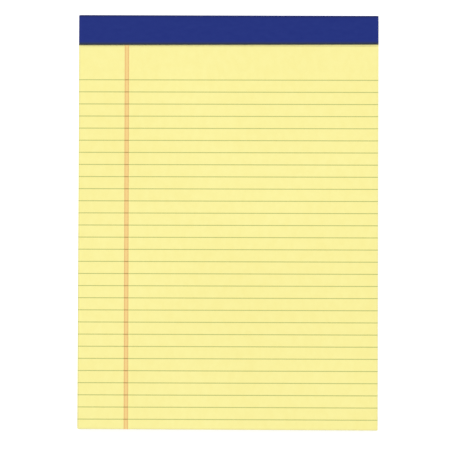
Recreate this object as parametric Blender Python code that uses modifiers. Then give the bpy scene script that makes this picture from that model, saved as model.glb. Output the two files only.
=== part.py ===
"""A letter-size perforated legal pad, lying on its back with its head towards +Y.

Fifty ruled sheets lie on a chipboard back. Wire stitches go through the stub above the perforation and
are clinched on the back of the board, and a strip of binding tape folds over the head and covers them.
Metres, +Z up. The origin is at the centre of the footprint, on the surface that the pad lies on.
"""

import math

import bmesh
import bpy
from mathutils import Matrix, Vector

# The pad
PAD_WIDTH = 0.2159
PAD_LENGTH = 0.29845

# Clearance between pieces that touch, and how far a cutter passes through what it cuts
SEAT_GAP = 0.0003
OVERRUN = 0.001

# The sheets
SHEET_COUNT = 50
SHEET_THICKNESS = 0.00008
# How far the soft edge of a sheet falls back where it meets the next, and how much of the edge is flat
EDGE_FALL = 0.00006
EDGE_FLAT_SHARE = 0.5
# How far the top sheet has slipped to the right at the foot, and how soon the slip grows up the stack
FOOT_SLIP = 0.0003
SLIP_GROWTH = 2.0
# How far single sheets stray from that at the foot, in waves of these angles from the board to the top
FOOT_STRAY = 0.00002
STRAY_ACROSS_TURN = 120.0
STRAY_ALONG_TURN = 156.0

# How much of a face's normal points up on the top sheet, and on none of the soft edges round it
UPWARD_SHARE = 0.99

# The print on the top sheet, which stands a little out of square with the cut edges
PRINT_TURN = math.radians(0.07)
FIRST_RULE_BELOW_TAPE = 0.0253
RULE_PITCH = 0.008731
RULE_WIDTH = 0.0005
LEAST_FOOT_MARGIN = 0.005
MARGIN_FROM_LEFT = 0.0335
MARGIN_LINE_PITCH = 0.0025
MARGIN_LINE_WIDTH = 0.00055

# The chipboard back
BOARD_THICKNESS = 0.001
BOARD_EDGE_ROUND = 0.00008
BOARD_EDGE_STEPS = 2

# The binding tape, whose back flap is what the front flap and the spine leave of its width.
# It is laid a little askew, so its front flap is deeper on the left than on the right.
TAPE_WIDTH = 0.04445
TAPE_THICKNESS = 0.0002
FRONT_FLAP = 0.0214
FLAP_SKEW = 0.001
FOLD_STEPS = 6

# The perforation: slits through all the sheets, with ties between them
PERFORATION_BELOW_TAPE = 0.0008
SLIT_PITCH = 0.0021
SLIT_LENGTH = 0.0015
SLIT_WIDTH = 0.0002

# The wire stitches
WIRE_DIAMETER = 0.00045
STITCH_FROM_HEAD = 0.0098
STITCH_PLACE_SHARES = (-0.36, -0.12, 0.12, 0.36)
CROWN_LENGTH = 0.012
CLINCH_LENGTH = 0.0046
CLINCH_SINK = 0.0001
WIRE_BEND_RADIUS = 0.0008
WIRE_BEND_STEPS = 5
WIRE_SIDES_RESOLUTION = 2
# The share of a wire's radius within which its caps and sides are one
WELD_SHARE = 0.01

# Heights from the resting surface up
BOARD_BOTTOM = TAPE_THICKNESS + SEAT_GAP
BLOCK_BOTTOM = BOARD_BOTTOM + BOARD_THICKNESS + SEAT_GAP
BLOCK_TOP = BLOCK_BOTTOM + SHEET_COUNT * SHEET_THICKNESS
PAD_HEIGHT = BLOCK_TOP + SEAT_GAP + TAPE_THICKNESS

# Places along the pad, from the foot to the head
FOOT_Y = -PAD_LENGTH / 2
TAPE_HEAD_Y = PAD_LENGTH / 2
STACK_HEAD_Y = TAPE_HEAD_Y - TAPE_THICKNESS - SEAT_GAP
TAPE_EDGE_Y = TAPE_HEAD_Y - FRONT_FLAP
PERFORATION_Y = TAPE_EDGE_Y - PERFORATION_BELOW_TAPE
PRINT_END_Y = TAPE_EDGE_Y + FLAP_SKEW / 2
STITCH_Y = TAPE_HEAD_Y - STITCH_FROM_HEAD

WHITE_METAL = (0.62, 0.62, 0.64)
PAPER_YELLOW = (0.93, 0.87, 0.33)
RULE_GREY_GREEN = (0.17, 0.39, 0.22)
MARGIN_RED = (0.83, 0.38, 0.18)
CHIPBOARD_GREY = (0.36, 0.32, 0.26)
TAPE_BLUE = (0.022, 0.032, 0.205)


def clear_scene():
    """Take out whatever the scene holds."""
    for thing in list(bpy.data.objects):
        bpy.data.objects.remove(thing, do_unlink=True)


def new_collection(name):
    collection = bpy.data.collections.new(name)
    bpy.context.scene.collection.children.link(collection)
    return collection


def finish(name, colour, roughness, metallic=0.0):
    """A plain material in the piece's own colour."""
    material = bpy.data.materials.new(name)
    material.use_nodes = True
    shader = material.node_tree.nodes["Principled BSDF"]
    shader.inputs["Base Color"].default_value = (*colour, 1.0)
    shader.inputs["Roughness"].default_value = roughness
    shader.inputs["Metallic"].default_value = metallic
    material.diffuse_color = (*colour, 1.0)
    return material


def new_object(name, data, collection, parent=None):
    thing = bpy.data.objects.new(name, data)
    collection.objects.link(thing)
    thing.parent = parent
    return thing


def as_cutter(thing):
    """Keep a cutter out of the renders and show it as a wire frame."""
    thing.hide_render = True
    thing.display_type = "WIRE"


def cut(thing, cutter):
    boolean = thing.modifiers.new("cut by " + cutter.name, "BOOLEAN")
    boolean.operation = "DIFFERENCE"
    boolean.solver = "EXACT"
    boolean.object = cutter


def loft(name, rings):
    """A closed mesh through rings of points, the lowest first, each anticlockwise seen from above."""
    bm = bmesh.new()
    layers = [[bm.verts.new(point) for point in ring] for ring in rings]
    bm.faces.new(reversed(layers[0]))
    bm.faces.new(layers[-1])
    for lower, upper in zip(layers, layers[1:]):
        for i in range(len(lower)):
            j = (i + 1) % len(lower)
            bm.faces.new((lower[i], lower[j], upper[j], upper[i]))
    mesh = bpy.data.meshes.new(name)
    bm.to_mesh(mesh)
    bm.free()
    return mesh


def rounded_path(corners, radius, steps):
    """The points of a path in one plane, each inner corner turned into an arc."""
    points = [corners[0]]
    for before, corner, after in zip(corners, corners[1:], corners[2:]):
        back = (before - corner).normalized()
        ahead = (after - corner).normalized()
        half_angle = back.angle(ahead) / 2
        centre = corner + (back + ahead).normalized() * radius / math.sin(half_angle)
        first = (corner + back * radius / math.tan(half_angle) - centre).normalized()
        last = (corner + ahead * radius / math.tan(half_angle) - centre).normalized()
        for i in range(steps + 1):
            points.append(centre + first.slerp(last, i / steps) * radius)
    points.append(corners[-1])
    return points


def wires(name, paths, radius):
    """Round wires with closed ends, one along each path."""
    curve = bpy.data.curves.new(name, "CURVE")
    curve.dimensions = "3D"
    curve.bevel_depth = radius
    curve.bevel_resolution = WIRE_SIDES_RESOLUTION
    curve.use_fill_caps = True
    for points in paths:
        spline = curve.splines.new("POLY")
        spline.points.add(len(points) - 1)
        for place, point in zip(spline.points, points):
            place.co = (*point, 1.0)
        spline.use_smooth = True
    return curve


def curve_to_mesh(thing, collection):
    """The curve object as a mesh object of the same name, its caps welded on."""
    name = thing.name
    bpy.context.view_layer.update()
    depsgraph = bpy.context.evaluated_depsgraph_get()
    mesh = bpy.data.meshes.new_from_object(thing.evaluated_get(depsgraph))
    place = thing.matrix_world.copy()
    weld_distance = thing.data.bevel_depth * WELD_SHARE
    bpy.data.objects.remove(thing, do_unlink=True)
    bm = bmesh.new()
    bm.from_mesh(mesh)
    bmesh.ops.remove_doubles(bm, verts=bm.verts, dist=weld_distance)
    bm.to_mesh(mesh)
    bm.free()
    solid = new_object(name, mesh, collection)
    solid.matrix_world = place
    return solid


def sheet_outline(place_share, inset=0.0):
    """A sheet's corners at its share of the way up the stack, anticlockwise from the foot's left."""
    slip = FOOT_SLIP * place_share**SLIP_GROWTH
    across = slip + FOOT_STRAY * math.sin(place_share * STRAY_ACROSS_TURN)
    along = FOOT_STRAY * math.cos(place_share * STRAY_ALONG_TURN)
    side = PAD_WIDTH / 2 - inset
    foot = FOOT_Y + along + inset
    head = STACK_HEAD_Y - inset
    return ((across - side, foot), (across + side, foot), (side, head), (-side, head))


def stack_rings():
    """The rings up the sides of the stack: each sheet's edge, with a fine groove below the next."""
    rings = []
    soft = SHEET_THICKNESS * (1 - EDGE_FLAT_SHARE) / 2
    last = SHEET_COUNT - 1
    for i in range(SHEET_COUNT):
        share = i / max(last, 1)
        low = i * SHEET_THICKNESS
        outline = sheet_outline(share)
        if i > 0:
            groove = sheet_outline((i - 0.5) / last, EDGE_FALL)
            rings.append([Vector((x, y, low)) for x, y in groove])
        edge_low = low + soft if i > 0 else low
        edge_high = low + SHEET_THICKNESS - (soft if i < last else 0.0)
        rings.append([Vector((x, y, edge_low)) for x, y in outline])
        rings.append([Vector((x, y, edge_high)) for x, y in outline])
    return rings


def rule_lines():
    """A point on each rule and the way across it, down to the last that leaves the foot its margin."""
    first = TAPE_EDGE_Y - FIRST_RULE_BELOW_TAPE
    count = int((first - FOOT_Y - LEAST_FOOT_MARGIN) / RULE_PITCH) + 1
    across = Vector((-math.sin(PRINT_TURN), math.cos(PRINT_TURN), 0))
    return [(across * (first - i * RULE_PITCH), across) for i in range(count)]


def margin_lines():
    """A point on each margin line and the way across it."""
    left = -PAD_WIDTH / 2 + MARGIN_FROM_LEFT
    across = Vector((math.cos(PRINT_TURN), math.sin(PRINT_TURN), 0))
    return [(across * left, across), (across * (left + MARGIN_LINE_PITCH), across)]


def print_faces(bm, top):
    """The faces of the top sheet that can hold print, from the tape's edge to the foot."""
    faces = []
    for face in bm.faces:
        middle = face.calc_center_median()
        if middle.z > top - EDGE_FALL and face.normal.z > UPWARD_SHARE and middle.y < PRINT_END_Y:
            faces.append(face)
    return faces


def divide_top(bm, top, place, across):
    """Divide the top sheet's print faces along the straight line through the place."""
    faces = print_faces(bm, top)
    edges = {edge for face in faces for edge in face.edges}
    corners = {corner for face in faces for corner in face.verts}
    bmesh.ops.bisect_plane(bm, geom=[*faces, *edges, *corners], plane_co=place, plane_no=across)


def print_top_sheet(mesh, top):
    """Divide the top sheet along both sides of every printed line, and give the lines their ink."""
    inks = [(1, RULE_WIDTH, line) for line in rule_lines()]
    inks += [(2, MARGIN_LINE_WIDTH, line) for line in margin_lines()]
    bm = bmesh.new()
    bm.from_mesh(mesh)
    divide_top(bm, top, Vector((0, PRINT_END_Y, 0)), Vector((0, 1, 0)))
    for _, width, (place, across) in inks:
        divide_top(bm, top, place - across * width / 2, across)
        divide_top(bm, top, place + across * width / 2, across)
    for face in print_faces(bm, top):
        for slot, width, (place, across) in inks:
            if abs((face.calc_center_median() - place).dot(across)) < width / 2:
                face.material_index = slot
    bm.to_mesh(mesh)
    bm.free()


def make_perforation_cutter(collection):
    """One slim blade for each slit, through all the sheets."""
    count = int(PAD_WIDTH / SLIT_PITCH)
    height = BLOCK_TOP - BLOCK_BOTTOM + 2 * OVERRUN
    middle = (BLOCK_TOP + BLOCK_BOTTOM) / 2
    size = Matrix.Diagonal((SLIT_LENGTH, SLIT_WIDTH, height, 1.0))
    bm = bmesh.new()
    for i in range(count):
        x = (i - (count - 1) / 2) * SLIT_PITCH
        place = Matrix.Translation((x, PERFORATION_Y, middle))
        bmesh.ops.create_cube(bm, size=1.0, matrix=place @ size)
    mesh = bpy.data.meshes.new("perforation_blades")
    bm.to_mesh(mesh)
    bm.free()
    blades = new_object("perforation_blades", mesh, collection)
    as_cutter(blades)
    return blades


def stitch_points(end_gap=0.0):
    """One stitch's wire from clinched end to clinched end, its middle at zero and its heights the pad's."""
    crown_z = BLOCK_TOP - WIRE_DIAMETER / 2
    clinch_z = BOARD_BOTTOM + CLINCH_SINK
    leg_x = CROWN_LENGTH / 2
    end_x = leg_x - CLINCH_LENGTH - end_gap
    corners = [
        Vector((-end_x, 0, clinch_z)),
        Vector((-leg_x, 0, clinch_z)),
        Vector((-leg_x, 0, crown_z)),
        Vector((leg_x, 0, crown_z)),
        Vector((leg_x, 0, clinch_z)),
        Vector((end_x, 0, clinch_z)),
    ]
    return rounded_path(corners, WIRE_BEND_RADIUS, WIRE_BEND_STEPS)


def stitch_location(place_share):
    return (place_share * PAD_WIDTH, STITCH_Y, 0)


def make_stitch_cutter(collection):
    """The room that the stitches press into the paper and the board, their wires with the seat gap round."""
    paths = []
    for place_share in STITCH_PLACE_SHARES:
        place = Vector(stitch_location(place_share))
        paths.append([place + point for point in stitch_points(SEAT_GAP)])
    curve = wires("stitch_rooms", paths, WIRE_DIAMETER / 2 + SEAT_GAP)
    rooms = curve_to_mesh(new_object("stitch_rooms", curve, collection), collection)
    as_cutter(rooms)
    return rooms


def make_page_block(collection, parent, cutters):
    """Fifty sheets in one solid, ruled on the top one, perforated and stitched."""
    top = SHEET_COUNT * SHEET_THICKNESS
    mesh = loft("page_block", stack_rings())
    print_top_sheet(mesh, top)
    block = new_object("page_block", mesh, collection, parent)
    block.location = (0, 0, BLOCK_BOTTOM)
    mesh.materials.append(finish("writing paper", PAPER_YELLOW, 0.85))
    mesh.materials.append(finish("rule ink", RULE_GREY_GREEN, 0.85))
    mesh.materials.append(finish("margin ink", MARGIN_RED, 0.85))
    for cutter in cutters:
        cut(block, cutter)


def make_backing_board(collection, parent, cutters):
    """The chipboard back, with the stitches' holes and the grooves that their clinched ends press."""
    length = STACK_HEAD_Y - FOOT_Y
    bm = bmesh.new()
    size = Matrix.Diagonal((PAD_WIDTH, length, BOARD_THICKNESS, 1.0))
    bmesh.ops.create_cube(bm, size=1.0, matrix=size)
    mesh = bpy.data.meshes.new("backing_board")
    bm.to_mesh(mesh)
    bm.free()
    board = new_object("backing_board", mesh, collection, parent)
    board.location = (0, (STACK_HEAD_Y + FOOT_Y) / 2, BOARD_BOTTOM + BOARD_THICKNESS / 2)
    mesh.materials.append(finish("chipboard", CHIPBOARD_GREY, 0.9))
    edges = board.modifiers.new("soft cut edges", "BEVEL")
    edges.width = BOARD_EDGE_ROUND
    edges.segments = BOARD_EDGE_STEPS
    for cutter in cutters:
        cut(board, cutter)


def tape_profile(side, front_flap):
    """The middle of the tape's thickness at one end, from the front flap round the head to the back flap."""
    middle = TAPE_THICKNESS / 2
    back_flap = TAPE_WIDTH - front_flap - PAD_HEIGHT
    corners = [
        Vector((side, TAPE_HEAD_Y - front_flap, PAD_HEIGHT - middle)),
        Vector((side, TAPE_HEAD_Y - middle, PAD_HEIGHT - middle)),
        Vector((side, TAPE_HEAD_Y - middle, middle)),
        Vector((side, TAPE_HEAD_Y - back_flap, middle)),
    ]
    return rounded_path(corners, SEAT_GAP + middle, FOLD_STEPS)


def make_binding_tape(collection, parent):
    """One strip folded over the head: a flap on the top sheet, the spine, and a flap on the board."""
    bm = bmesh.new()
    edges = []
    for side, skew in ((-PAD_WIDTH / 2, FLAP_SKEW / 2), (PAD_WIDTH / 2, -FLAP_SKEW / 2)):
        points = [bm.verts.new(point) for point in tape_profile(side, FRONT_FLAP + skew)]
        edges += [bm.edges.new(pair) for pair in zip(points, points[1:])]
    bmesh.ops.bridge_loops(bm, edges=edges)
    mesh = bpy.data.meshes.new("binding_tape")
    bm.to_mesh(mesh)
    bm.free()
    mesh.shade_smooth()
    tape = new_object("binding_tape", mesh, collection, parent)
    mesh.materials.append(finish("binding tape", TAPE_BLUE, 0.55))
    thickness = tape.modifiers.new("tape thickness", "SOLIDIFY")
    thickness.thickness = TAPE_THICKNESS
    thickness.offset = 0.0
    thickness.use_even_offset = True


def make_stitches(collection, parent):
    """The wire stitches, each its own piece."""
    metal = finish("stitching wire", WHITE_METAL, 0.3, 1.0)
    for i, place_share in enumerate(STITCH_PLACE_SHARES):
        name = f"staple_{i + 1}"
        curve = wires(name, [stitch_points()], WIRE_DIAMETER / 2)
        curve.materials.append(metal)
        staple = new_object(name, curve, collection, parent)
        staple.location = stitch_location(place_share)


def main():
    clear_scene()
    parts = new_collection("legal_pad")
    cutters = new_collection("cutters")
    pad = new_object("legal_pad", None, parts)
    stitch_rooms = make_stitch_cutter(cutters)
    blades = make_perforation_cutter(cutters)
    make_backing_board(parts, pad, [stitch_rooms])
    make_page_block(parts, pad, [blades, stitch_rooms])
    make_stitches(parts, pad)
    make_binding_tape(parts, pad)


main()
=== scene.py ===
"""A letter-size legal pad lying on a pale floor, seen from above.

The script runs in Blender 4.5 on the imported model, which it loads as a fixed frame. It stands the ruled
sheets, the print, the chipboard back and the binding tape in the places of the model's solids, and gives each
its finish. Everything is in metres, with the head of the pad towards +Y and the top sheet facing +Z.
"""

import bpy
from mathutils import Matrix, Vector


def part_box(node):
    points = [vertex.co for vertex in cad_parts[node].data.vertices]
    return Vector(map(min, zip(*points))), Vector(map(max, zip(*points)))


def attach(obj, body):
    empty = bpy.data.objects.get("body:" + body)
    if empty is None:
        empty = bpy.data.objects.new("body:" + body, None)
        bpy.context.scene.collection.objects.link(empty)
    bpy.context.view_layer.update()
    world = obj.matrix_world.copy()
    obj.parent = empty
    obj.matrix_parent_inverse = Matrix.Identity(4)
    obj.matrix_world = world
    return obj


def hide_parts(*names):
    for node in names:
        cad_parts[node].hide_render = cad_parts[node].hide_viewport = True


bl_info = {
    "name": "Legal Pad",
    "version": (1, 0, 0),
    "blender": (4, 5, 0),
    "location": "3D View > Sidebar > Legal Pad",
    "description": "Builds a ruled legal pad with its chipboard back, binding tape and wire stitches",
    "category": "Mesh",
}

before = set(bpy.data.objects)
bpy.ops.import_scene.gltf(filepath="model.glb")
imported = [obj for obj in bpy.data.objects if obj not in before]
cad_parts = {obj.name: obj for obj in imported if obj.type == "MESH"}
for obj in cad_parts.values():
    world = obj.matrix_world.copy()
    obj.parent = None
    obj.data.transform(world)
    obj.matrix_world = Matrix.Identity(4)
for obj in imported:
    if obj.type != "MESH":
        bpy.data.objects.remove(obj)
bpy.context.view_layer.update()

import math
import random
from functools import partial

import bmesh
import bpy
from mathutils import Matrix, Vector

BOARD_LOW, BOARD_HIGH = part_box("backing_board")
TAPE_LOW, TAPE_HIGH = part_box("binding_tape")
STITCHES = sorted(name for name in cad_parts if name.startswith("staple"))
STITCH_BOXES = [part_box(name) for name in STITCHES]

MM = 0.001
WIDTH = BOARD_HIGH.x - BOARD_LOW.x
FOOT_Y = BOARD_LOW.y
HEAD_Y = TAPE_HIGH.y
LENGTH = HEAD_Y - FOOT_Y
ACROSS = Vector((1, 0, 0))
ALONG = Vector((0, 1, 0))
UP = Vector((0, 0, 1))
# Daylight left between two pieces that rest on each other
TOUCH = 0.01 * MM

# The board and the sheets sink to the floor past the tape's back flap, and the top sheet lifts at the foot
SINK_RUN = 22 * MM
SINK_STEPS = 12
LIFT_REACH = 85 * MM
LEFT_LIFT_SHARE = 0.35

# The top sheet's mesh, and how many pieces a rounded corner, a softened rim and a fold of the tape have
SHEET_COLUMNS = 22
SHEET_ROWS = 30
CORNER_SEGMENTS = 4
RIM_SEGMENTS = 3
FOLD_SEGMENTS = 10

# Powers at which the slip and the lift grow up the stack, how much of a stray is along the pad, and the draw
SLIP_POWER = 2
LIFT_POWER = 6
STRAY_ALONG_SHARE = 0.6
STRAY_SEED = 29

# Each sheet's cut edge and the groove under it, as shares of the step between sheets, and how deep a slit goes
EDGE_FOOT_SHARE = 0.22
GROOVE_TOP_SHARE = 0.05
GROOVE_FOOT_SHARE = -0.06
GROOVE_DEPTH = 0.05 * MM
SLIT_DEPTH_IN_SHEETS = 3

# How far the inks stand out of the top sheet. The rules stand out further, so they show across the margin
RULE_FILM = 0.018 * MM
MARGIN_FILM = 0.012 * MM

# The tape's mesh, with cuts closer together towards its worn ends, and the angle past which it looks sharp
TAPE_STEP = 0.5 * MM
TAPE_COLUMNS = 108
END_SHARES = (1.0, 0.7, 0.45, 0.25, 0.1, 0.02)
SHARP_FOLD = math.radians(40)

# How far the wear of the tape's ends reaches from the head, and the lip from its front edge. A stitch's ridge
# fades out over its reach, which starts where the crown's rounded shoulders start
END_REACH = 4 * MM
LIP_REACH = 3 * MM
RIDGE_REACH = 0.9 * MM
CROWN_SHOULDER = 1.2 * MM

# How grey the painted shade leaves the top sheet's rim and the band just below the tape, and how far in from
# its edges
LEFT_FOOT_GREY = 0.9
LEFT_MIDDLE_GREY = 0.5
RIGHT_GREY = 0.12
FOOT_GREY = 0.4
TAPE_SHADOW_GREY = 0.45
RIM_REACH = 1.5 * MM
TAPE_SHADOW_BAND = (1.2 * MM, 2.1 * MM)

# How far rules lie off those of other sheets, how far their ticks reach in from the sides, and the grain in
# millimetres at which the ticks change, about a sheet thick
RULING_DRIFT = 0.6 * MM
TICK_REACH = 2 * MM
TICK_GRAIN = 0.09

# Grains in millimetres across, along and up: the paper's felt, and the ink that soaks into it
FELT_GRAIN = (0.32, 0.45, 0.32)
INK_GRAIN = (0.5, 0.5, 0.5)

# From one thread of the tape's grain to the next, and how far a Wave node turns in one unit of its pattern
THREAD_PITCH = 0.4712 * MM
WAVE_TURN = 20

# Where a Mix node takes two colours and gives their mixture, after its sockets for numbers and vectors
MIX_A, MIX_B, MIX_RESULT = 6, 7, 2

# The stage
WHITE = "FFFFFF"
FLOOR_GREY = "E7E7E7"
FLOOR_GLOW = 0.62
FLOOR_REACH = 6.0
FLOOR_GAP = 0.02 * MM
SKY_LIGHT = 0.6
SOFT_BOX_PLACE = Vector((-2.1, 9.6, 9.0))
SOFT_BOX_SIDE = 4.2
SOFT_BOX_WATTS = 1085.0
FILM_WIDTH_MM = 36.0
LENS_MM = 132.68
CAMERA_PLACE = (0.00857, -0.01549, 1.2)
CAMERA_TURN_DEGREES = (0.65, 0.507, 0.246)
CAMERA_CLIP = (0.05, 20.0)


def linear(code):
    """The linear colour of an sRGB hex value."""
    channels = [int(code[i : i + 2], 16) / 255 for i in (0, 2, 4)]
    return [c / 12.92 if c <= 0.04045 else ((c + 0.055) / 1.055) ** 2.4 for c in channels]


def length_prop(name, description, default):
    """A size that a user can set."""
    return bpy.props.FloatProperty(
        name=name, description=description, default=default, min=0.0, precision=5, unit="LENGTH"
    )


def colour_prop(name, description, code):
    """A colour that a user can set, from its sRGB hex value."""
    return bpy.props.FloatVectorProperty(
        name=name, description=description, default=linear(code), subtype="COLOR", min=0.0, max=1.0
    )


class LEGALPAD_PG_sheets(bpy.types.PropertyGroup):
    """Sizes of the sheets and their print"""

    count: bpy.props.IntProperty(name="Sheets", description="Sheets in the pad", default=50, min=2)
    slip: length_prop("Slip", "How far the top sheet has slipped to the right at the foot", 0.25 * MM)
    stray: length_prop("Stray", "How far single sheets stray at the foot", 0.07 * MM)
    corner: length_prop("Corner", "Softness of a sheet's corners", 0.35 * MM)
    worn_corner: length_prop("Worn corner", "Softness of the corner at the foot's left", 0.7 * MM)
    lift: length_prop("Lift", "How far the top sheet lifts at the foot's right corner", 0.26 * MM)
    first_rule: length_prop("First rule", "From the head to the first rule", 46.7 * MM)
    rule_pitch: length_prop("Rule pitch", "From one rule to the next", 8.731 * MM)
    rule_width: length_prop("Rule width", "Width of a rule", 0.62 * MM)
    foot_margin: length_prop("Foot margin", "Least room below the last rule", 5.0 * MM)
    margin: length_prop("Margin", "From the left edge to the first margin line", 33.5 * MM)
    margin_pitch: length_prop("Margin pitch", "From one margin line to the other", 2.48 * MM)
    margin_width: length_prop("Margin line width", "Width of a margin line", 0.62 * MM)
    print_turn: bpy.props.FloatProperty(
        name="Print turn", description="How far the print is out of square", default=math.radians(0.07),
        subtype="ANGLE",
    )


class LEGALPAD_PG_cover(bpy.types.PropertyGroup):
    """Sizes of the board, the tape and the perforation"""

    board: length_prop("Board", "Thickness of the chipboard back", 1.15 * MM)
    board_corner: length_prop("Board corner", "Softness of the board's corners", 0.3 * MM)
    board_rim: length_prop("Board rim", "Softness of the board's cut edges", 0.12 * MM)
    tape: length_prop("Tape", "Thickness of the binding tape", 0.2 * MM)
    front_flap: length_prop("Front flap", "Depth of the tape's front flap", 21.25 * MM)
    back_flap: length_prop("Back flap", "Depth of the tape's back flap", 16.75 * MM)
    skew: length_prop("Skew", "How much deeper the front flap is on the left than on the right", 1.0 * MM)
    lip: length_prop("Lip", "How far the front flap's edge stands off the top sheet", 0.13 * MM)
    fold: length_prop("Fold", "Radius of the tape's folds", 0.75 * MM)
    worn_end: length_prop("Worn end", "Softness of the tape's left end at the head", 0.75 * MM)
    crisp_end: length_prop("Crisp end", "Softness of the tape's right end at the head", 0.3 * MM)
    ridge: length_prop("Ridge", "How far a stitch shows through the tape", 0.05 * MM)
    slit_pitch: length_prop("Slit pitch", "From one slit of the perforation to the next", 2.1 * MM)
    slit_length: length_prop("Slit length", "Length of a slit", 1.5 * MM)
    slit_width: length_prop("Slit width", "Width of a slit", 0.16 * MM)
    perforation: length_prop("Perforation", "From the tape's edge to the perforation", 0.8 * MM)


class LEGALPAD_PG_colours(bpy.types.PropertyGroup):
    """Colours of the pad"""

    paper: colour_prop("Paper", "The sheets' canary yellow", "FCF4A1")
    paper_deep: colour_prop("Deep paper", "The yellow where the fibres lie closer", "F9EF98")
    edge: colour_prop("Cut edge", "The sheets' cut edges", "ECE5A4")
    # The dim cut edges' grey is also the colour of the painted shade along the top sheet's rim and below the
    # tape
    edge_dim: colour_prop("Dim cut edge", "The greyer ones of the cut edges", "D2CC95")
    rule: colour_prop("Rule ink", "The grey-green of the rules", "B8BF71")
    margin: colour_prop("Margin ink", "The red of the margin lines", "E9B772")
    margin_tint: colour_prop("Margin tint", "The pale ink between the margin lines", "F5CF84")
    tape: colour_prop("Tape", "The binding tape's dark blue", "132778")
    tape_worn: colour_prop("Worn tape", "The tape where it is rubbed", "2A3B86")
    # The colour of the painted shade along the tape front flap's cut edge
    tape_edge_shade: colour_prop("Tape edge", "The grime along the front flap's cut edge", "272F3A")
    board: colour_prop("Chipboard", "The chipboard's grey brown", "A09889")
    board_light: colour_prop("Light fibre", "The light fibres in the chipboard", "C4BDAF")
    board_dark: colour_prop("Dark fibre", "The dark fibres in the chipboard", "6B6257")
    wire: colour_prop("Wire", "The stitching wire's zinc", "CDCDD0")


def smooth(share):
    """From 0 to 1 without a kink at either end."""
    share = min(max(share, 0.0), 1.0)
    return share * share * (3 - 2 * share)


def sink(cover, y):
    """How far the board and the sheets have sunk to the floor, past the tape's back flap."""
    return cover.tape * smooth((HEAD_Y - cover.back_flap - y) / SINK_RUN)


def corner_lift(sheets, x, y):
    """How far the top sheet lifts towards the corners at the foot."""
    down = smooth(1 - (y - FOOT_Y) / LIFT_REACH)
    right = smooth(1 - (WIDTH / 2 - x) / LIFT_REACH)
    left = smooth(1 - (WIDTH / 2 + x) / LIFT_REACH)
    return sheets.lift * down * (right + LEFT_LIFT_SHARE * left)


def placed(name, data):
    """An object of the scene."""
    thing = bpy.data.objects.new(name, data)
    bpy.context.scene.collection.objects.link(thing)
    return thing


def object_from(bm, name, material):
    """The mesh as an object of the scene."""
    mesh = bpy.data.meshes.new(name)
    bm.to_mesh(mesh)
    bm.free()
    mesh.materials.append(material)
    return placed(name, mesh)


def piece_from(bm, name, material, replaced=None):
    """The mesh as a piece that rides with the pad."""
    piece = object_from(bm, name, material)
    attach(piece, "root")
    if replaced:
        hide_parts(replaced)
    return piece


def only_verts(made):
    """The vertices among what an operator has made."""
    return [part for part in made if isinstance(part, bmesh.types.BMVert)]


def cut_across(bm, faces, place, way, **cleared):
    """Divides the faces along the plane through the place that faces this way."""
    faces = list(faces)
    edges = {edge for face in faces for edge in face.edges}
    verts = {vert for face in faces for vert in face.verts}
    bmesh.ops.bisect_plane(bm, geom=[*faces, *edges, *verts], plane_co=place, plane_no=way, **cleared)


def soften(bm, geom, radius, affect="EDGES", segments=CORNER_SEGMENTS):
    """Rounds edges or corners off."""
    bmesh.ops.bevel(
        bm, geom=geom, offset=radius, offset_type="OFFSET", segments=segments, profile=0.5, affect=affect,
        material=-1,
    )


def top_surface(sheets, cover):
    """The top sheet's upper face, flat and with soft corners."""
    head = HEAD_Y - cover.tape - TOUCH
    bm = bmesh.new()
    size = Matrix.Diagonal((WIDTH, head - FOOT_Y, 1.0, 1.0))
    place = Matrix.Translation((0, (head + FOOT_Y) / 2, 0))
    bmesh.ops.create_grid(
        bm, x_segments=SHEET_COLUMNS, y_segments=SHEET_ROWS, size=0.5, matrix=place @ size
    )
    for vert in [vert for vert in bm.verts if len(vert.link_edges) == 2]:
        at_left = vert.co.x < 0
        radius = cover.worn_end if at_left else cover.crisp_end
        if vert.co.y < 0:
            radius = sheets.worn_corner if at_left else sheets.corner
        soften(bm, [vert], radius, "VERTICES")
    return bm


def stack_plan(sheets):
    """Each sheet's stray and tone. The top sheet, which carries the print, strays nowhere."""
    draw = random.Random(STRAY_SEED)
    plan = {"across": [], "along": [], "tone": []}
    for _ in range(sheets.count):
        plan["across"].append(draw.gauss(0, sheets.stray))
        plan["along"].append(draw.gauss(0, sheets.stray * STRAY_ALONG_SHARE))
        plan["tone"].append(draw.random())
    plan["across"][-1] = plan["along"][-1] = 0.0
    return plan


def stack_heights(sheets, cover):
    """The underside of the lowest sheet, and from one sheet to the next."""
    low = cover.tape + cover.board + 2 * TOUCH
    high = TAPE_HIGH.z - cover.tape - TOUCH
    return low, (high - low) / sheets.count


def sheet_place(sheets, cover, stack, sheet, base, height):
    """Where a flat sheet's point lies on one sheet of the stack, slipped and lifted more the higher it is."""
    share = sheet / (sheets.count - 1)
    down = (HEAD_Y - base.y) / LENGTH
    across = (sheets.slip * share**SLIP_POWER + stack["across"][sheet]) * down
    along = stack["along"][sheet] * down
    lift = corner_lift(sheets, base.x, base.y) * share**LIFT_POWER
    return Vector((base.x + across, base.y + along, height - sink(cover, base.y) + lift))


def lay_top(bm, sheets, cover, stack, height):
    """Lays the top sheet's vertices where the sheet lies."""
    for vert in bm.verts:
        vert.co = sheet_place(sheets, cover, stack, sheets.count - 1, vert.co, height)


def mark_outline(bm, base, outward):
    """Marks each vertex with its place, and the outline's with the way out of the sheet."""
    for vert in bm.verts:
        vert[base] = vert.co
    for edge in bm.edges:
        if edge.is_boundary:
            a, b = edge.verts
            way = (b.co - a.co).cross(UP).normalized()
            if way.dot((a.co + b.co) / 2 - edge.link_faces[0].calc_center_median()) < 0:
                way = -way
            a[outward] = a[outward] + way
            b[outward] = b[outward] + way


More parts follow.
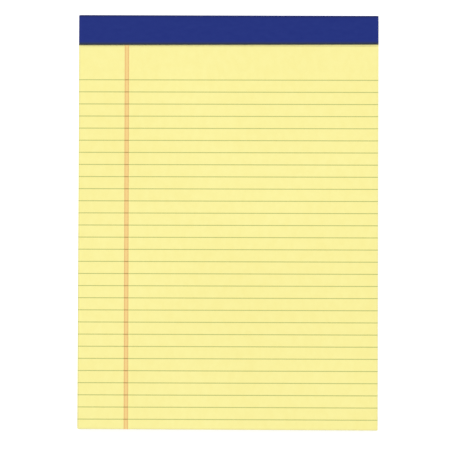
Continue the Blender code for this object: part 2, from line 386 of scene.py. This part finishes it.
def punch_perforation(bm, cover):
    """Makes the slits just below the tape, as pits in the top of the stack, and gives their vertices."""
    y = HEAD_Y - cover.front_flap - cover.perforation
    count = int(WIDTH / cover.slit_pitch)
    for side in (-0.5, 0.5):
        cut_across(bm, bm.faces, Vector((0, y + side * cover.slit_width, 0)), ALONG)
    for i in range(count):
        middle = (i - (count - 1) / 2) * cover.slit_pitch
        for side in (-0.5, 0.5):
            row = [f for f in bm.faces if abs(f.calc_center_median().y - y) < cover.slit_width / 2]
            cut_across(bm, row, Vector((middle + side * cover.slit_length, y, 0)), ACROSS)
    slits = []
    for face in bm.faces:
        centre = face.calc_center_median()
        step = centre.x / cover.slit_pitch + (count - 1) / 2
        off = abs(step - round(step)) * cover.slit_pitch
        inside = 0 <= round(step) < count and off < cover.slit_length / 2
        if inside and abs(centre.y - y) < cover.slit_width / 2:
            slits.append(face)
    pits = bmesh.ops.extrude_face_region(bm, geom=slits)["geom"]
    bmesh.ops.delete(bm, geom=slits, context="FACES")
    return only_verts(pits)


def sheets_mesh(sheets, cover):
    """The sheets as one solid: the top one's face, and down the sides each one's edge over a fine groove."""
    stack = stack_plan(sheets)
    low, pitch = stack_heights(sheets, cover)
    bm = top_surface(sheets, cover)
    base = bm.verts.layers.float_vector.new("base")
    outward = bm.verts.layers.float_vector.new("outward")
    pits = punch_perforation(bm, cover)
    mark_outline(bm, base, outward)
    lay_top(bm, sheets, cover, stack, low + sheets.count * pitch)
    for vert in pits:
        vert.co.z -= SLIT_DEPTH_IN_SHEETS * pitch
    cut = bm.faces.layers.float.new("cut_edge")
    tone = bm.faces.layers.float.new("sheet_tone")
    ring = [edge for edge in bm.edges if edge.is_boundary]
    for sheet in reversed(range(sheets.count)):
        steps = [(sheet, EDGE_FOOT_SHARE, 0.0)]
        if sheet > 0:
            steps += [(sheet, GROOVE_TOP_SHARE, GROOVE_DEPTH), (sheet - 1, GROOVE_FOOT_SHARE, 0.0)]
        for of_sheet, share, inset in steps:
            before = set(bm.faces)
            made = bmesh.ops.extrude_edge_only(bm, edges=ring)["geom"]
            ring = [edge for edge in made if isinstance(edge, bmesh.types.BMEdge) and edge.is_boundary]
            for vert in {vert for edge in ring for vert in edge.verts}:
                inward = vert[outward].normalized() * -inset
                height = low + (sheet + share) * pitch
                vert.co = sheet_place(sheets, cover, stack, of_sheet, vert[base], height) + inward
            for face in set(bm.faces) - before:
                face[cut] = 1.0
                face[tone] = stack["tone"][of_sheet]
    bmesh.ops.contextual_create(bm, geom=ring)
    bmesh.ops.recalc_face_normals(bm, faces=bm.faces)
    return bm


def rule_count(sheets):
    """How many rules a sheet has room for."""
    room = LENGTH - sheets.first_rule - sheets.foot_margin
    return int(room / sheets.rule_pitch) + 1


def print_bands(sheets):
    """The rules, the margin lines and the tint between them, each as a place, the way across and a width."""
    turn = sheets.print_turn
    way = Vector((-math.sin(turn), math.cos(turn), 0))
    first = HEAD_Y - sheets.first_rule
    places = [first - i * sheets.rule_pitch for i in range(rule_count(sheets))]
    rules = [(way * place, way, sheets.rule_width) for place in places]
    way = Vector((math.cos(turn), math.sin(turn), 0))
    left = sheets.margin - WIDTH / 2
    lines = [(way * (left + i * sheets.margin_pitch), way, sheets.margin_width) for i in range(2)]
    tint = [(way * (left + sheets.margin_pitch / 2), way, sheets.margin_pitch - sheets.margin_width)]
    return rules, lines, tint


def print_mesh(sheets, cover, bands, thickness):
    """The bands as a film of ink on the top sheet, cut from the sheet's own surface."""
    low, pitch = stack_heights(sheets, cover)
    flat = top_surface(sheets, cover)
    end = HEAD_Y - cover.front_flap + cover.skew / 2
    cut_across(flat, flat.faces, ALONG * end, ALONG, clear_outer=True)
    film = bmesh.new()
    for place, way, width in bands:
        band = flat.copy()
        for side in (-0.5, 0.5):
            edge = place + way * (side * width)
            cut_across(band, band.faces, edge, way, clear_inner=side < 0, clear_outer=side > 0)
        kept = bpy.data.meshes.new("band")
        band.to_mesh(kept)
        film.from_mesh(kept)
        bpy.data.meshes.remove(kept)
        band.free()
    flat.free()
    lay_top(film, sheets, cover, stack_plan(sheets), low + sheets.count * pitch + thickness)
    made = bmesh.ops.extrude_face_region(film, geom=list(film.faces), use_keep_orig=True)["geom"]
    bmesh.ops.translate(film, verts=only_verts(made), vec=UP * (-2 * thickness))
    bmesh.ops.recalc_face_normals(film, faces=film.faces)
    return film


def board_mesh(cover):
    """The chipboard, its corners and cut edges softened, bent down to the floor past the tape's flap."""
    head = HEAD_Y - cover.tape - TOUCH
    low = cover.tape + TOUCH
    bm = bmesh.new()
    size = Matrix.Diagonal((WIDTH, head - FOOT_Y, cover.board, 1.0))
    place = Matrix.Translation((0, (head + FOOT_Y) / 2, low + cover.board / 2))
    bmesh.ops.create_cube(bm, size=1.0, matrix=place @ size)
    upright = [e for e in bm.edges if abs(e.verts[0].co.z - e.verts[1].co.z) > cover.board / 2]
    at_head = [e for e in upright if e.verts[0].co.y > 0]
    at_foot = [e for e in upright if e.verts[0].co.y < 0]
    soften(bm, at_head, cover.worn_end)
    soften(bm, at_foot, cover.board_corner)
    rims = [e for e in bm.edges if {abs(round(f.normal.z)) for f in e.link_faces} == {0, 1}]
    soften(bm, rims, cover.board_rim, segments=RIM_SEGMENTS)
    for i in range(SINK_STEPS + 1):
        y = HEAD_Y - cover.back_flap - SINK_RUN * i / SINK_STEPS
        cut_across(bm, bm.faces, ALONG * y, ALONG)
    for vert in bm.verts:
        vert.co.z -= sink(cover, vert.co.y)
    bmesh.ops.recalc_face_normals(bm, faces=bm.faces)
    return bm


def end_shortfall(cover, x):
    """How far short of the head the tape stops, which is worn round at its two ends."""
    radius = cover.worn_end if x < 0 else cover.crisp_end
    past = max(abs(x) - (WIDTH / 2 - radius), 0.0)
    return radius - math.sqrt(max(radius**2 - past**2, 0.0))


def ridge_at(cover, x, y):
    """How far the tape stands up over the stitches' crowns."""
    height = 0.0
    for low, high in STITCH_BOXES:
        beyond = max(abs(x - (low.x + high.x) / 2) - (high.x - low.x) / 2 + CROWN_SHOULDER, 0.0)
        off = math.hypot(beyond, y - (low.y + high.y) / 2)
        height += cover.ridge * math.exp(-((off / RIDGE_REACH) ** 2))
    return height


def tape_strip(cover):
    """The strip's middle surface folded square over the head, cut into columns."""
    bm = bmesh.new()
    front, back = HEAD_Y - cover.front_flap, HEAD_Y - cover.back_flap
    places = ((front, TAPE_HIGH.z), (HEAD_Y, TAPE_HIGH.z), (HEAD_Y, TAPE_LOW.z), (back, TAPE_LOW.z))
    path = [bm.verts.new((-WIDTH / 2, y, z)) for y, z in places]
    for pair in zip(path, path[1:]):
        bm.edges.new(pair)
    soften(bm, path[1:3], cover.fold, "VERTICES", FOLD_SEGMENTS)
    for edge in list(bm.edges):
        cuts = int(edge.calc_length() / TAPE_STEP)
        if cuts > 0:
            bmesh.ops.subdivide_edges(bm, edges=[edge], cuts=cuts)
    made = bmesh.ops.extrude_edge_only(bm, edges=list(bm.edges))["geom"]
    bmesh.ops.translate(bm, verts=only_verts(made), vec=ACROSS * WIDTH)
    columns = [WIDTH * (i / TAPE_COLUMNS - 0.5) for i in range(1, TAPE_COLUMNS)]
    for side, radius in ((-1, cover.worn_end), (1, cover.crisp_end)):
        columns += [side * (WIDTH / 2 - radius * share) for share in END_SHARES]
    for x in columns:
        cut_across(bm, bm.faces, ACROSS * x, ACROSS)
    bmesh.ops.recalc_face_normals(bm, faces=bm.faces)
    return bm


def tape_mesh(cover):
    """One strip of tape folded over the head, worn round at its ends, with the stitches showing through."""
    bm = tape_strip(cover)
    for vert in bm.verts:
        x, y, z = vert.co
        top = z > (TAPE_HIGH.z + TAPE_LOW.z) / 2
        flap = cover.front_flap if top else cover.back_flap
        down = min((HEAD_Y - y) / flap, 1.0)
        y += cover.skew * x / WIDTH * down * (1 if top else -1)
        y -= end_shortfall(cover, x) * max(1 - down * flap / END_REACH, 0.0)
        if top:
            z += ridge_at(cover, x, y) + cover.lip * smooth(1 - (1 - down) * flap / LIP_REACH)
        vert.co = (x, y, z)
    front = [f for f in bm.faces if f.calc_center_median().z > TAPE_HIGH.z * 0.9]
    if sum(f.normal.z * f.calc_area() for f in front) < 0:
        bmesh.ops.reverse_faces(bm, faces=bm.faces)
    bmesh.ops.solidify(bm, geom=list(bm.faces), thickness=cover.tape)
    bmesh.ops.recalc_face_normals(bm, faces=bm.faces)
    return bm


def add_node(tree, kind, sockets=(), out=0, **settings):
    """Adds a node with its settings, fills or links its sockets, and gives one of its outputs.

    The sockets' values stand in order or by name. A socket as a value is linked, and a colour has no alpha.
    """
    node = tree.nodes.new("ShaderNode" + kind)
    for name, value in settings.items():
        setattr(node, name, value)
    for name, value in sockets.items() if isinstance(sockets, dict) else enumerate(sockets):
        socket = node.inputs[name]
        if isinstance(value, bpy.types.NodeSocket):
            tree.links.new(value, socket)
        else:
            socket.default_value = (*value, 1.0) if socket.type == "RGBA" else value
    return node.outputs[out] if node.outputs else None


def node_adder(owner):
    """Empties the tree of a material or a world, and gives what adds nodes to it."""
    owner.use_nodes = True
    owner.node_tree.nodes.clear()
    return partial(add_node, owner.node_tree)


def new_material(name):
    """A material, what adds nodes to it, and the object's coordinates there."""
    material = bpy.data.materials.new(name)
    add = node_adder(material)
    return material, add, add("TexCoord", out="Object")


def shaded(material, add, shader):
    """The material, finished with its shader."""
    add("OutputMaterial", [add("BsdfPrincipled", shader)])
    return material


def mottle(add, place, grain, detail=3.0, rough=0.5):
    """A cloudy pattern whose grains have this size in millimetres across, along and up."""
    counted = add("Mapping", {"Vector": place, "Scale": [1 / (side * MM) for side in grain]})
    return add("TexNoise", {"Vector": counted, "Scale": 1.0, "Detail": detail, "Roughness": rough})


def coated(add, ground, coats):
    """The ground's colour under coats of others, each a share that it covers and its colour."""
    for share, colour in coats:
        sockets = {"Factor": share, MIX_A: ground, MIX_B: colour}
        ground = add("Mix", sockets, MIX_RESULT, data_type="RGBA")
    return ground


def below_tape(add, place, cover):
    """How far below the front flap's cut edge a point lies. The edge runs askew."""
    x, y, _ = add("SeparateXYZ", [place]).node.outputs
    from_middle = add("Math", (HEAD_Y - cover.front_flap, y), operation="SUBTRACT")
    return add("Math", (x, cover.skew / WIDTH, from_middle), operation="MULTIPLY_ADD")


def edge_ticks(add, place, sheets):
    """1 where the rules run off the cut edges, broken up from sheet to sheet."""
    x, y, _ = add("SeparateXYZ", [place]).node.outputs
    # Each sheet was ruled a little higher or lower than the next
    register = mottle(add, place, (400, 400, TICK_GRAIN), 0.0)
    drifted = add("Math", (register, RULING_DRIFT, y), operation="MULTIPLY_ADD")
    first = HEAD_Y - sheets.first_rule + RULING_DRIFT / 2
    below_first = add("Math", (first, drifted), operation="SUBTRACT")
    steps = add("Math", (below_first, sheets.rule_pitch), operation="DIVIDE")
    nearest = add("Math", [steps], operation="ROUND")
    off = add("Math", [add("Math", (steps, nearest), operation="SUBTRACT")], operation="ABSOLUTE")
    half = sheets.rule_width / sheets.rule_pitch / 2
    from_middle = add("Math", [x], operation="ABSOLUTE")
    drops = mottle(add, place, (1, 1, TICK_GRAIN), 1.0)
    ticks = add("MapRange", (off, half * 0.6, half * 1.6, 1.0, 0.0))
    for mask in (
        add("MapRange", (drops, 0.4, 0.62)),
        add("Math", (from_middle, WIDTH / 2 - TICK_REACH), operation="GREATER_THAN"),
        add("Math", (steps, -0.5), operation="GREATER_THAN"),
        add("Math", (steps, rule_count(sheets) - 0.5), operation="LESS_THAN"),
    ):
        ticks = add("Math", (ticks, mask), operation="MULTIPLY")
    return ticks


def painted_rim_shade(add, place, cover):
    """Painted shade on the sheets' faces: how grey they are along their edges, where the stack's sides lie in
    shade, and just below the tape's cut edge, where its shadow falls.
    """
    x, y, _ = add("SeparateXYZ", [place]).node.outputs
    near_left = add("MapRange", (x, -WIDTH / 2, RIM_REACH - WIDTH / 2, 1.0, 0.0))
    up_left = add("MapRange", (y, FOOT_Y, 0.0, LEFT_FOOT_GREY, LEFT_MIDDLE_GREY))
    rim = add("Math", (near_left, up_left), operation="MULTIPLY")
    for other in (
        add("MapRange", (x, WIDTH / 2 - RIM_REACH, WIDTH / 2, 0.0, RIGHT_GREY)),
        add("MapRange", (y, FOOT_Y, FOOT_Y + RIM_REACH, FOOT_GREY, 0.0)),
        add("MapRange", (below_tape(add, place, cover), *TAPE_SHADOW_BAND, TAPE_SHADOW_GREY, 0.0)),
    ):
        rim = add("Math", (rim, other), operation="MAXIMUM")
    patches = add("MapRange", (mottle(add, place, (3, 9, 3), 2.0), 0.35, 0.65, 0.6, 1.0))
    return add("Math", (rim, patches), operation="MULTIPLY")


def felt(add, place):
    """The relief of paper's fibres, felted about three to the millimetre."""
    fibres = mottle(add, place, FELT_GRAIN, 4.0, 0.65)
    return add("Bump", {"Height": fibres, "Strength": 0.35, "Distance": 0.02 * MM})


def paper_material(colours, sheets, cover):
    """Uncoated writing paper, machine made: matt, cloudy and finely felted, with greyer cut edges, and painted
    shade along the top sheet's rim and below the tape.
    """
    material, add, place = new_material("uncoated writing paper")
    cloud = add("MapRange", (mottle(add, place, (5, 7, 5), 4.0, 0.6), 0.35, 0.65, 0.0, 0.5))
    drift = add("MapRange", (mottle(add, place, (90, 120, 90), 1.0), 0.3, 0.7, 0.0, 0.5))
    close = add("Math", (cloud, drift), operation="ADD")
    # Painted shade along the sheet's rim and in the tape's shadow, in the grey of the dim cut edges
    rim = painted_rim_shade(add, place, cover)
    face = coated(add, colours.paper, ((close, colours.paper_deep), (rim, colours.edge_dim)))
    # The guillotine leaves streaks down the stack, one or two to the millimetre
    streak = add("MapRange", (mottle(add, place, (0.7, 0.7, 9), 3.0, 0.6), 0.4, 0.7, 0.0, 0.4))
    tone = add("Attribute", out="Fac", attribute_name="sheet_tone")
    dim = add("Math", (tone, 0.6, streak), operation="MULTIPLY_ADD")
    ticks = add("Math", (edge_ticks(add, place, sheets), 0.55), operation="MULTIPLY")
    edge = coated(add, colours.edge, ((dim, colours.edge_dim), (ticks, colours.rule)))
    cut = add("Attribute", out="Fac", attribute_name="cut_edge")
    colour = coated(add, face, [(cut, edge)])
    shader = {"Base Color": colour, "Roughness": 0.82, "IOR": 1.45, "Normal": felt(add, place)}
    return shaded(material, add, shader)


def ink_material(name, ink, paper, crossing=None):
    """Water-based ruling ink soaked into paper: matt, and a little uneven where the fibres drink it."""
    material, add, place = new_material(name)
    pale = add("MapRange", (mottle(add, place, INK_GRAIN, 3.0, 0.6), 0.45, 0.75, 0.0, 0.3))
    inked = coated(add, ink, [(pale, paper)])
    if crossing:
        # Where it crosses other ink, both soak into the same fibres and darken each other
        middle, way, half, other = crossing
        reach = add("VectorMath", (place, way), "Value", operation="DOT_PRODUCT")
        beside = add("Math", (reach, middle.dot(way)), operation="SUBTRACT")
        off = add("Math", [beside], operation="ABSOLUTE")
        crossed = add("Math", (off, half), operation="LESS_THAN")
        both = [channel / bare for channel, bare in zip(other, paper)]
        sockets = {"Factor": crossed, MIX_A: inked, MIX_B: both}
        inked = add("Mix", sockets, MIX_RESULT, data_type="RGBA", blend_type="MULTIPLY")
    shader = {"Base Color": inked, "Roughness": 0.8, "IOR": 1.45, "Normal": felt(add, place)}
    return shaded(material, add, shader)


def tape_material(colours, cover):
    """Coated binding paper, dyed blue and calendered: a low sheen over a fine cloth-like grain."""
    material, add, place = new_material("coated binding paper")
    _, y, z = add("SeparateXYZ", [place]).node.outputs
    cloud = mottle(add, place, (6, 3, 3), 3.0, 0.55)
    faded = add("MapRange", (cloud, 0.3, 0.7, 0.0, 0.22))
    # Rubbing shows in patches on the spine and its two folds
    at_spine = add("MapRange", (y, HEAD_Y - 0.9 * MM, HEAD_Y - 0.05 * MM))
    rubbed = add("MapRange", (mottle(add, place, (3, 0.8, 0.8), 4.0, 0.7), 0.5, 0.75))
    worn = add("Math", (at_spine, rubbed), operation="MULTIPLY")
    worn = add("Math", (worn, 0.5, faded), operation="MULTIPLY_ADD")
    # Painted shade darkens the tape along the front fold
    to_fold = add("MapRange", (y, HEAD_Y - 2.3 * MM, HEAD_Y - 0.2 * MM, 0.0, 0.75))
    up_spine = add("MapRange", (z, TAPE_HIGH.z - 1.4 * MM, TAPE_HIGH.z - 0.3 * MM))
    painted_fold_shade = add("Math", (to_fold, up_spine), operation="MULTIPLY")
    dark = [channel * 0.3 for channel in colours.tape]
    # Painted shade darkens the tape along the front flap's cut edge
    to_edge = add("Math", [below_tape(add, place, cover)], operation="ABSOLUTE")
    painted_edge_shade = add("MapRange", (to_edge, 0.8 * MM, 2.4 * MM, 0.9, 0.0))
    in_front = add("Math", (z, TAPE_HIGH.z / 2), operation="GREATER_THAN")
    painted_edge_shade = add("Math", (painted_edge_shade, in_front), operation="MULTIPLY")
    coats = ((worn, colours.tape_worn), (painted_fold_shade, dark), (painted_edge_shade, colours.tape_edge_shade))
    # The grain pressed into the coating, about two threads to the millimetre each way, coarse enough to show
    turns = math.tau / WAVE_TURN / THREAD_PITCH
    threads = {"Vector": place, "Scale": turns, "Distortion": 0.6, "Detail": 2.0}
    warp, weft = (add("TexWave", threads, bands_direction=way) for way in "XY")
    fibres = mottle(add, place, (0.4, 0.4, 0.4), 3.0, 0.6)
    grain = add("Math", (warp, weft, fibres), operation="MULTIPLY_ADD")
    shader = {
        "Base Color": coated(add, colours.tape, coats),
        "Roughness": add("MapRange", (cloud, 0.3, 0.7, 0.5, 0.62)),
        "IOR": 1.45,
        "Specular IOR Level": 0.2,
        "Normal": add("Bump", {"Height": grain, "Strength": 0.3, "Distance": 0.03 * MM}),
    }
    return shaded(material, add, shader)


def board_material(colours):
    """Unbleached chipboard, pressed from waste paper: matt grey brown with light and dark fibres."""
    material, add, place = new_material("unbleached chipboard")
    pulp = mottle(add, place, (3, 3, 0.5), 5.0, 0.65)
    light = mottle(add, place, (1.8, 0.35, 0.2), 2.0, 0.6)
    dark = mottle(add, place, (0.4, 1.3, 0.2), 2.0, 0.6)
    coats = (
        (add("MapRange", (pulp, 0.3, 0.7, 0.0, 0.35)), colours.board_dark),
        (add("MapRange", (light, 0.6, 0.72, 0.0, 0.6)), colours.board_light),
        (add("MapRange", (dark, 0.66, 0.76, 0.0, 0.7)), colours.board_dark),
    )
    rough = add("Math", (light, 0.6, pulp), operation="MULTIPLY_ADD")
    shader = {
        "Base Color": coated(add, colours.board, coats),
        "Roughness": 0.9,
        "IOR": 1.45,
        "Normal": add("Bump", {"Height": rough, "Strength": 0.5, "Distance": 0.06 * MM}),
    }
    return shaded(material, add, shader)


def wire_material(colours):
    """Zinc-coated steel wire, drawn: bright, with fine streaks along it."""
    material, add, place = new_material("zinc-coated stitching wire")
    streak = mottle(add, place, (4, 0.08, 0.08), 2.0)
    dulled = [channel * 0.8 for channel in colours.wire]
    shader = {
        "Base Color": coated(add, colours.wire, [(streak, dulled)]),
        "Roughness": add("MapRange", (streak, 0.3, 0.7, 0.24, 0.4)),
        "Metallic": 1.0,
    }
    return shaded(material, add, shader)


def seen_white(add, lit, seen):
    """One strength for the light that falls on things, and another for what a camera, gloss or glass sees."""
    path = add("LightPath").node.outputs
    by_eye = path["Is Camera Ray"]
    for ray in ("Is Glossy Ray", "Is Transmission Ray"):
        by_eye = add("Math", (by_eye, path[ray]), operation="MAXIMUM")
    return add("MapRange", (by_eye, 0.0, 1.0, lit, seen))


def lay_floor():
    """A pale matt floor, which looks white and still takes the pad's shadow."""
    bm = bmesh.new()
    place = Matrix.Translation((0, 0, TAPE_LOW.z - FLOOR_GAP))
    bmesh.ops.create_grid(bm, x_segments=1, y_segments=1, size=FLOOR_REACH, matrix=place)
    material = bpy.data.materials.new("white studio floor")
    add = node_adder(material)
    matt = add("BsdfDiffuse", {"Color": linear(FLOOR_GREY)})
    glow = add("Emission", {"Color": linear(WHITE), "Strength": seen_white(add, 0.0, FLOOR_GLOW)})
    add("OutputMaterial", [add("AddShader", (matt, glow))])
    object_from(bm, "floor", material)


def light_studio(scene):
    """An even sky, and a large soft box behind the pad's head."""
    scene.world = bpy.data.worlds.new("studio")
    add = node_adder(scene.world)
    sky = add("Background", {"Color": linear(WHITE), "Strength": seen_white(add, SKY_LIGHT, 1.0)})
    add("OutputWorld", [sky])
    lamp = bpy.data.lights.new("soft box", "AREA")
    lamp.shape = "SQUARE"
    lamp.size = SOFT_BOX_SIDE
    lamp.energy = SOFT_BOX_WATTS
    box = placed("soft_box", lamp)
    box.location = SOFT_BOX_PLACE
    box.rotation_euler = (-SOFT_BOX_PLACE).to_track_quat("-Z", "Y").to_euler()


def aim_camera(scene):
    """The camera at the photograph's view, from above and a little towards the foot."""
    lens = bpy.data.cameras.new("camera")
    lens.sensor_width = FILM_WIDTH_MM
    lens.lens = LENS_MM
    lens.clip_start, lens.clip_end = CAMERA_CLIP
    camera = placed("camera", lens)
    camera.location = CAMERA_PLACE
    camera.rotation_euler = [math.radians(angle) for angle in CAMERA_TURN_DEGREES]
    scene.camera = camera


def pad_settings(context):
    """The sizes of the sheets, those of the cover, and the colours."""
    scene = context.scene
    return scene.legalpad_sheets, scene.legalpad_cover, scene.legalpad_colours


class LEGALPAD_OT_stage(bpy.types.Operator):
    """Sets the floor, the light and the camera"""

    bl_idname = "legalpad.stage"
    bl_label = "Stage"
    bl_options = {"REGISTER", "UNDO"}

    def execute(self, context):
        context.scene.view_settings.view_transform = "Standard"
        lay_floor()
        light_studio(context.scene)
        aim_camera(context.scene)
        return {"FINISHED"}


class LEGALPAD_OT_sheets(bpy.types.Operator):
    """Builds the stack of ruled sheets"""

    bl_idname = "legalpad.sheets"
    bl_label = "Sheets"
    bl_options = {"REGISTER", "UNDO"}

    def execute(self, context):
        sheets, cover, colours = pad_settings(context)
        paper = paper_material(colours, sheets, cover)
        piece_from(sheets_mesh(sheets, cover), "ruled_sheets", paper, "page_block")
        return {"FINISHED"}


class LEGALPAD_OT_print(bpy.types.Operator):
    """Prints the rules and the margin lines on the top sheet"""

    bl_idname = "legalpad.print"
    bl_label = "Print"
    bl_options = {"REGISTER", "UNDO"}

    def execute(self, context):
        sheets, cover, colours = pad_settings(context)
        rules, lines, tint = print_bands(sheets)
        middle, way, between = tint[0]
        crossing = (middle, way, between / 2 + sheets.margin_width, colours.margin)
        for name, bands, colour, film, ink, crossed in (
            ("rules", rules, colours.rule, RULE_FILM, "grey-green ruling ink", crossing),
            ("margin_tint", tint, colours.margin_tint, MARGIN_FILM, "thinned red ruling ink", None),
            ("margin_lines", lines, colours.margin, MARGIN_FILM, "red ruling ink", None),
        ):
            material = ink_material(ink, colour, colours.paper, crossed)
            piece_from(print_mesh(sheets, cover, bands, film), name, material)
        return {"FINISHED"}


class LEGALPAD_OT_board(bpy.types.Operator):
    """Builds the chipboard back"""

    bl_idname = "legalpad.board"
    bl_label = "Chipboard Back"
    bl_options = {"REGISTER", "UNDO"}

    def execute(self, context):
        _, cover, colours = pad_settings(context)
        pulp = board_material(colours)
        piece_from(board_mesh(cover), "chipboard_back", pulp, "backing_board")
        return {"FINISHED"}


class LEGALPAD_OT_tape(bpy.types.Operator):
    """Builds the binding tape over the head"""

    bl_idname = "legalpad.tape"
    bl_label = "Binding Tape"
    bl_options = {"REGISTER", "UNDO"}

    def execute(self, context):
        _, cover, colours = pad_settings(context)
        dressing = tape_material(colours, cover)
        tape = piece_from(tape_mesh(cover), "folded_tape", dressing, "binding_tape")
        tape.data.shade_smooth()
        tape.data.set_sharp_from_angle(angle=SHARP_FOLD)
        return {"FINISHED"}


class LEGALPAD_OT_stitches(bpy.types.Operator):
    """Gives the wire stitches their finish"""

    bl_idname = "legalpad.stitches"
    bl_label = "Wire Stitches"
    bl_options = {"REGISTER", "UNDO"}

    def execute(self, context):
        wire = wire_material(context.scene.legalpad_colours)
        for name in STITCHES:
            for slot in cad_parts[name].material_slots:
                slot.material = wire
        return {"FINISHED"}


OPERATORS = (
    LEGALPAD_OT_stage,
    LEGALPAD_OT_sheets,
    LEGALPAD_OT_print,
    LEGALPAD_OT_board,
    LEGALPAD_OT_tape,
    LEGALPAD_OT_stitches,
)


class LEGALPAD_PT_pad(bpy.types.Panel):
    """The pad's sizes, colours and pieces"""

    bl_idname = "LEGALPAD_PT_pad"
    bl_label = "Legal Pad"
    bl_space_type = "VIEW_3D"
    bl_region_type = "UI"
    bl_category = "Legal Pad"

    def draw(self, context):
        for group in pad_settings(context):
            box = self.layout.box()
            for name in group.__annotations__:
                box.prop(group, name)
        for operator in OPERATORS:
            self.layout.operator(operator.bl_idname)


GROUPS = {
    "legalpad_sheets": LEGALPAD_PG_sheets,
    "legalpad_cover": LEGALPAD_PG_cover,
    "legalpad_colours": LEGALPAD_PG_colours,
}


def register():
    for name, group in GROUPS.items():
        bpy.utils.register_class(group)
        setattr(bpy.types.Scene, name, bpy.props.PointerProperty(type=group))
    for operator in OPERATORS:
        bpy.utils.register_class(operator)
    bpy.utils.register_class(LEGALPAD_PT_pad)


def unregister():
    bpy.utils.unregister_class(LEGALPAD_PT_pad)
    for operator in reversed(OPERATORS):
        bpy.utils.unregister_class(operator)
    for name, group in GROUPS.items():
        delattr(bpy.types.Scene, name)
        bpy.utils.unregister_class(group)


def main():
    register()
    bpy.ops.legalpad.stage()
    bpy.ops.legalpad.sheets()
    bpy.ops.legalpad.print()
    bpy.ops.legalpad.board()
    bpy.ops.legalpad.tape()
    bpy.ops.legalpad.stitches()


if __name__ == "__main__":
    main()
